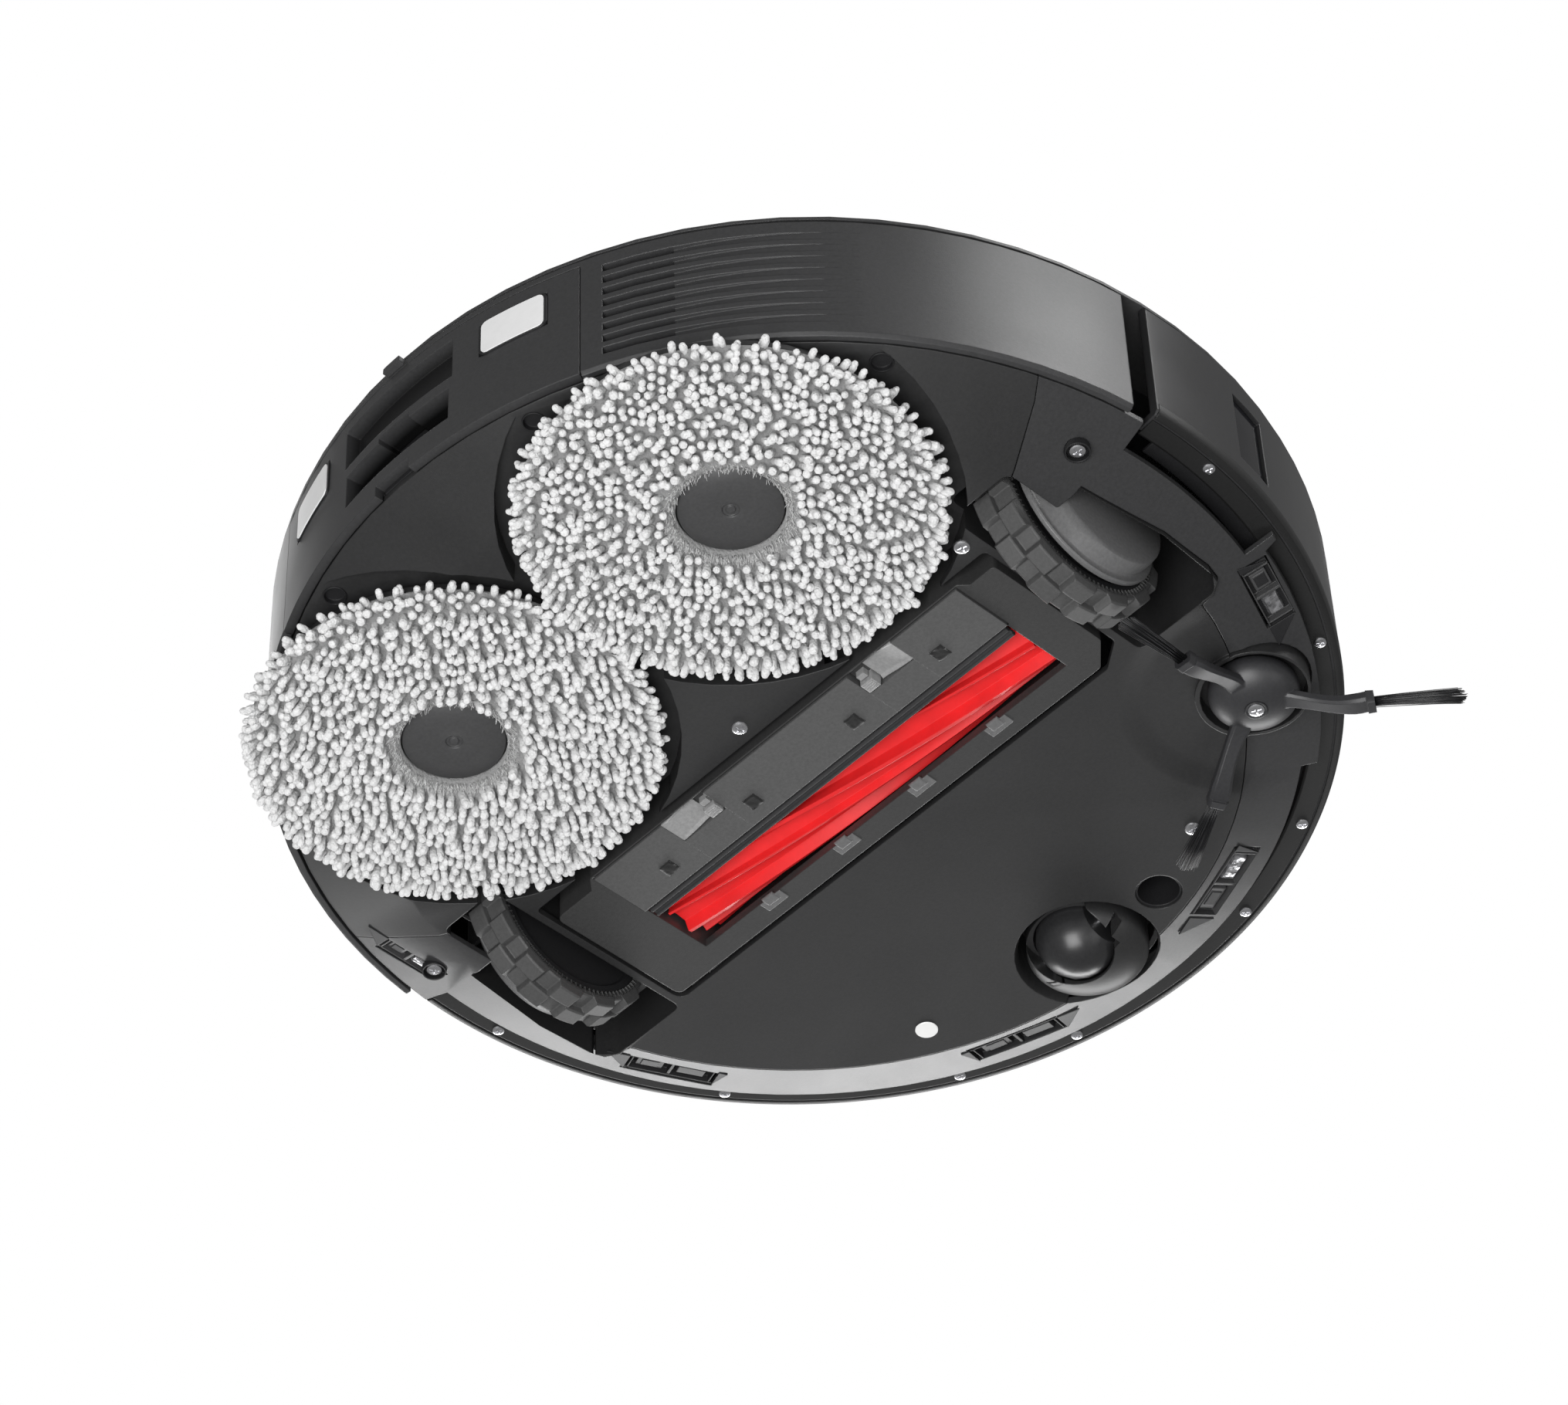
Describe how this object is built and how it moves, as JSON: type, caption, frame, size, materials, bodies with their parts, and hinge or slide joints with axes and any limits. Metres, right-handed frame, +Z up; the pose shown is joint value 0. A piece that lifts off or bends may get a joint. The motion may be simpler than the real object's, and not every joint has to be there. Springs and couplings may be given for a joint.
{
  "type": "robot vacuum",
  "caption": "Round robot vacuum and mop with sprung drive wheels, swivel caster, roller brush, side brush, spinning lifting mop pads, press-in bumper and laser turret.",
  "frame": {"origin": "centre of the round body, on the plane that the two hanging drive wheels touch", "axes": "+Z up; the front of the robot, where the bumper is, faces -Y; its right side faces -X"},
  "size_m": [0.35, 0.35, 0.1052],
  "materials": {
    "charcoal": "fine matt grain",
    "graphite": "satin",
    "window": "polished, infrared clear",
    "grey": "satin",
    "tyre": "matt moulded",
    "red_rubber": "satin moulded",
    "microfibre": "looped microfibre",
    "bristle": "nylon bristle",
    "steel": "bright nickel",
    "board": "solder mask",
    "battery": "shrink wrap",
    "smoked": "smoked clear"
  },
  "bodies": {
    "body": {"base_pan": "charcoal", "underside_trim": "graphite", "cliff_window_front_left": "window", "cliff_window_front_right": "window", "cliff_window_left": "window", "cliff_window_right": "window", "cliff_window_rear_left": "window", "rear_shell": "charcoal", "rear_panel": "graphite", "charging_contact_left": "steel", "charging_contact_right": "steel", "brush_housing": "graphite", "brush_cover": "grey", "scraper_strip": "tyre", "brush_bearing": "grey", "brush_motor": "steel", "arm_pin_left": "steel", "arm_pin_right": "steel", "top_deck": "graphite", "turret_base": "charcoal", "turret_cap": "graphite", "side_brush_motor": "grey", "mop_gearbox": "grey", "suction_fan": "grey", "battery_pack": "battery", "main_board": "board", "dust_bin": "smoked"},
    "bumper": {"bumper": "graphite", "wall_sensor_window": "window", "front_window": "window"},
    "left_latch": {"cover_latch_left": "grey"},
    "right_latch": {"cover_latch_right": "grey"},
    "roller": {"main_brush": "red_rubber"},
    "left_arm": {"swing_arm_left": "grey"},
    "left_wheel": {"wheel_left": "grey", "tyre_left": "tyre"},
    "right_arm": {"swing_arm_right": "grey"},
    "right_wheel": {"wheel_right": "grey", "tyre_right": "tyre"},
    "caster_swivel": {"caster_holder": "charcoal", "caster_axle": "steel"},
    "caster_wheel": {"caster_wheel": "grey"},
    "edge_brush": {"side_brush": "charcoal", "bristle_tuft_1": "bristle", "bristle_tuft_2": "bristle", "bristle_tuft_3": "bristle"},
    "left_mop_carrier": {"mop_sleeve_left": "grey"},
    "left_mop": {"mop_plate_left": "charcoal", "mop_pad_left": "microfibre", "mop_cap_left": "charcoal"},
    "right_mop_carrier": {"mop_sleeve_right": "grey"},
    "right_mop": {"mop_plate_right": "charcoal", "mop_pad_right": "microfibre", "mop_cap_right": "charcoal"},
    "lid": {"bin_lid": "charcoal"},
    "power_key": {"power_button": "grey"},
    "home_key": {"home_button": "grey"},
    "laser_head": {"turret_rotor": "window"}
  },
  "joints": [
    {"name": "bumper_press", "type": "slide", "parent": "body", "child": "bumper", "axis": [0, 1, 0], "range_m": [0, 0.004], "stiffness_N_per_m": 700, "springref_m": -0.002},
    {"name": "left_latch_slide", "type": "slide", "parent": "body", "child": "left_latch", "axis": [0, 1, 0], "range_m": [0, 0.003], "stiffness_N_per_m": 400, "springref_m": -0.001},
    {"name": "left_suspension", "type": "hinge", "parent": "body", "child": "left_arm", "pos_m": [0.13, 0.0345, 0.065], "axis": [-1, 0, 0], "range_deg": [0, 13.5], "stiffness_Nm_per_rad": 1.2, "springref_deg": -12.61},
    {"name": "left_wheel_spin", "type": "hinge", "parent": "left_arm", "child": "left_wheel", "pos_m": [0.12035, 0.0016, 0.0361], "axis": [1, 0, 0], "continuous": true},
    {"name": "left_mop_lift", "type": "slide", "parent": "body", "child": "left_mop_carrier", "axis": [0, 0, -1], "range_m": [0, 0.007]},
    {"name": "left_mop_spin", "type": "hinge", "parent": "left_mop_carrier", "child": "left_mop", "pos_m": [0.0658, 0.0934, 0.018], "axis": [0, 0, 1], "continuous": true},
    {"name": "right_latch_slide", "type": "slide", "parent": "body", "child": "right_latch", "axis": [0, 1, 0], "range_m": [0, 0.003], "stiffness_N_per_m": 400, "springref_m": -0.001},
    {"name": "right_suspension", "type": "hinge", "parent": "body", "child": "right_arm", "pos_m": [-0.13, 0.0345, 0.065], "axis": [-1, 0, 0], "range_deg": [0, 13.5], "stiffness_Nm_per_rad": 1.2, "springref_deg": -12.61},
    {"name": "right_wheel_spin", "type": "hinge", "parent": "right_arm", "child": "right_wheel", "pos_m": [-0.12035, 0.0016, 0.0361], "axis": [1, 0, 0], "continuous": true},
    {"name": "right_mop_lift", "type": "slide", "parent": "body", "child": "right_mop_carrier", "axis": [0, 0, -1], "range_m": [0, 0.007]},
    {"name": "right_mop_spin", "type": "hinge", "parent": "right_mop_carrier", "child": "right_mop", "pos_m": [-0.0658, 0.0934, 0.018], "axis": [0, 0, 1], "continuous": true},
    {"name": "roller_spin", "type": "hinge", "parent": "body", "child": "roller", "pos_m": [0, -0.0165, 0.0355], "axis": [1, 0, 0], "continuous": true},
    {"name": "edge_brush_spin", "type": "hinge", "parent": "body", "child": "edge_brush", "pos_m": [-0.1192, -0.0842, 0.018], "axis": [0, 0, 1], "continuous": true},
    {"name": "caster_turn", "type": "hinge", "parent": "body", "child": "caster_swivel", "pos_m": [0, -0.1287, 0.018], "axis": [0, 0, 1], "continuous": true},
    {"name": "caster_roll", "type": "hinge", "parent": "caster_swivel", "child": "caster_wheel", "pos_m": [0, -0.1239, 0.0227], "axis": [1, 0, 0], "continuous": true},
    {"name": "lid_hinge", "type": "hinge", "parent": "body", "child": "lid", "pos_m": [0, 0.008, 0.0868], "axis": [-1, 0, 0], "range_deg": [0, 75]},
    {"name": "power_press", "type": "slide", "parent": "body", "child": "power_key", "axis": [0, 0, -1], "range_m": [0, 0.0012], "stiffness_N_per_m": 500, "springref_m": -0.0004},
    {"name": "home_press", "type": "slide", "parent": "body", "child": "home_key", "axis": [0, 0, -1], "range_m": [0, 0.0012], "stiffness_N_per_m": 500, "springref_m": -0.0004},
    {"name": "laser_spin", "type": "hinge", "parent": "body", "child": "laser_head", "pos_m": [0, 0.075, 0.087], "axis": [0, 0, 1], "continuous": true}
  ],
  "couplings": [
    {"joint": "right_mop_spin", "follows": "left_mop_spin", "ratio": -1},
    {"joint": "right_mop_lift", "follows": "left_mop_lift", "ratio": 1}
  ]
}
